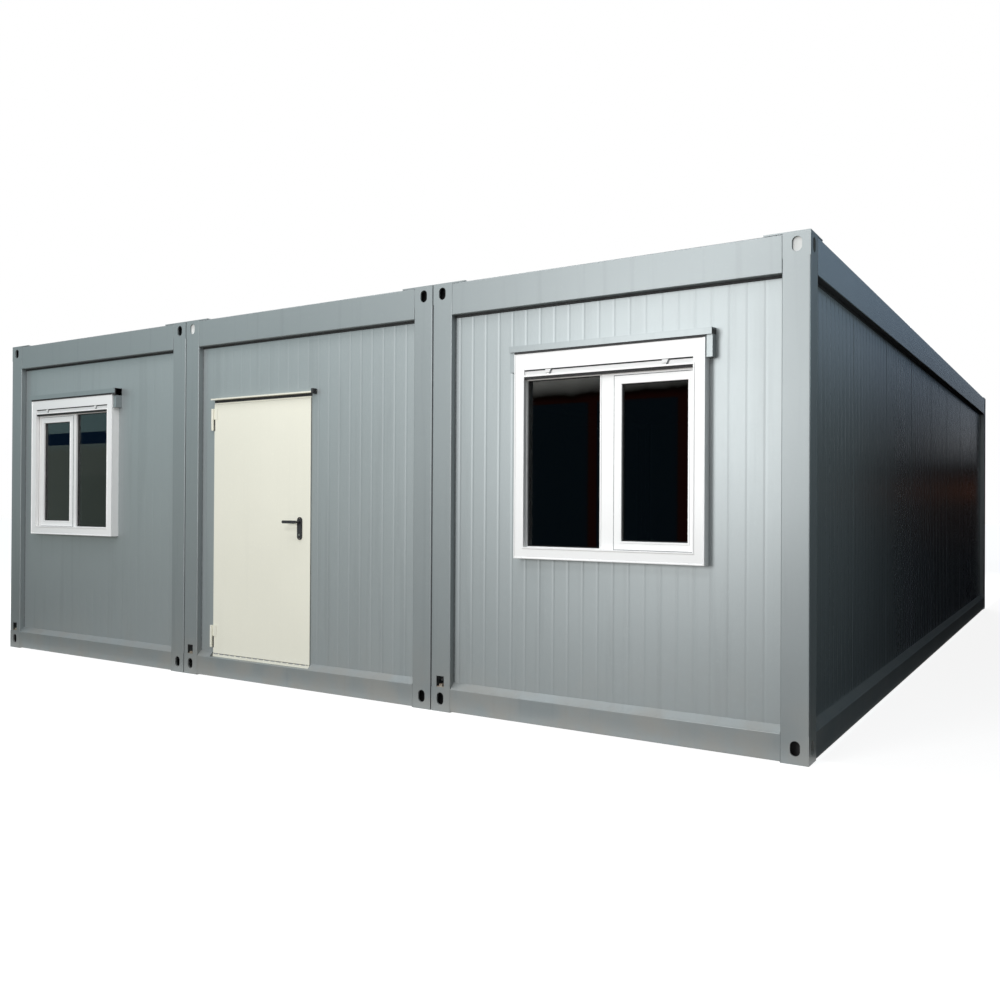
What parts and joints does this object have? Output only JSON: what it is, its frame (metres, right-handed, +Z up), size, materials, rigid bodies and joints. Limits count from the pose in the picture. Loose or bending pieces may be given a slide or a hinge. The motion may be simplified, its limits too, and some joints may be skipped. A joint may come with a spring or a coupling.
{
  "type": "shipping container cabin",
  "caption": "Single-storey office cabin of steel-framed container modules joined side by side, with an outward-opening front door and shuttered windows",
  "frame": {"origin": "the middle of the building's footprint, on the ground it stands on", "axes": "+X runs along the front from left to right seen from outside, +Y runs from the front wall with the door to the back wall, +Z is up"},
  "size_m": [7.321, 9.146, 2.8],
  "materials": {
    "corner_castings_bottom": "light grey paint",
    "corner_castings_top": "light grey paint",
    "corner_posts": "light grey paint",
    "post_foot_bolts": "dull bolts and washers plates",
    "base_rails_ends": "light grey paint",
    "base_rails_sides": "light grey paint",
    "roof_rails_ends": "light grey paint",
    "roof_rails_sides": "light grey paint",
    "roof_sheets": "galvanised roof sheet",
    "roof_joint_caps": "galvanised cap",
    "ceilings": "white board",
    "ceiling_joint_covers": "white cover",
    "floor_decks": "board under a vinyl covering",
    "floor_joint_covers": "board under a vinyl covering",
    "underfloors": "galvanised sheet",
    "joint_seals": "dark seal",
    "side_wall_left": "steel faced sandwich panel",
    "side_wall_right": "steel faced sandwich panel",
    "front_wall_left": "steel faced sandwich panel",
    "front_wall_right": "steel faced sandwich panel",
    "front_wall_door_left": "steel faced sandwich panel",
    "front_wall_door_right": "steel faced sandwich panel",
    "front_wall_over_door": "steel faced sandwich panel",
    "back_walls": "steel faced sandwich panel",
    "window_surrounds": "white plastic",
    "window_frames": "white plastic",
    "window_sashes": "white plastic",
    "window_panes": "insulating glass",
    "shutter_boxes": "white plastic",
    "shutter_bars": "grey end bar",
    "window_drip_caps": "grey folded sheet",
    "door_jambs": "cream paint",
    "door_head": "cream paint",
    "door_threshold": "cream paint",
    "door_drip_rail": "grey folded sheet",
    "door_frame_hinges": "cream paint",
    "door_leaf_hinges": "cream paint",
    "door_leaf": "cream paint",
    "door_escutcheons": "black plastic",
    "door_lock_cylinder": "dull nickel",
    "door_handle": "black plastic"
  },
  "bodies": {
    "building": {"corner_castings_bottom": "corner_castings_bottom", "corner_castings_top": "corner_castings_top", "corner_posts": "corner_posts", "post_foot_bolts": "post_foot_bolts", "base_rails_ends": "base_rails_ends", "base_rails_sides": "base_rails_sides", "roof_rails_ends": "roof_rails_ends", "roof_rails_sides": "roof_rails_sides", "roof_sheets": "roof_sheets", "roof_joint_caps": "roof_joint_caps", "ceilings": "ceilings", "ceiling_joint_covers": "ceiling_joint_covers", "floor_decks": "floor_decks", "floor_joint_covers": "floor_joint_covers", "underfloors": "underfloors", "joint_seals": "joint_seals", "side_wall_left": "side_wall_left", "side_wall_right": "side_wall_right", "front_wall_left": "front_wall_left", "front_wall_right": "front_wall_right", "front_wall_door_left": "front_wall_door_left", "front_wall_door_right": "front_wall_door_right", "front_wall_over_door": "front_wall_over_door", "back_walls": "back_walls", "window_surrounds": "window_surrounds", "window_frames": "window_frames", "window_sashes": "window_sashes", "window_panes": "window_panes", "shutter_boxes": "shutter_boxes", "shutter_bars": "shutter_bars", "window_drip_caps": "window_drip_caps", "door_jambs": "door_jambs", "door_head": "door_head", "door_threshold": "door_threshold", "door_drip_rail": "door_drip_rail", "door_frame_hinges": "door_frame_hinges"},
    "door": {"door_leaf": "door_leaf", "door_leaf_hinges": "door_leaf_hinges", "door_escutcheons": "door_escutcheons", "door_lock_cylinder": "door_lock_cylinder"},
    "handle": {"door_handle": "door_handle"}
  },
  "joints": [
    {"name": "door_hinge", "type": "hinge", "parent": "building", "child": "door", "pos_m": [-0.9365, -4.53, 1.15], "axis": [0, 0, -1], "range_deg": [0, 150]},
    {"name": "handle_turn", "type": "hinge", "parent": "door", "child": "handle", "pos_m": [0.0005, -4.5005, 1.218], "axis": [0, -1, 0], "range_deg": [0, 40], "stiffness_Nm_per_rad": 1.5, "springref_deg": -17.19}
  ]
}
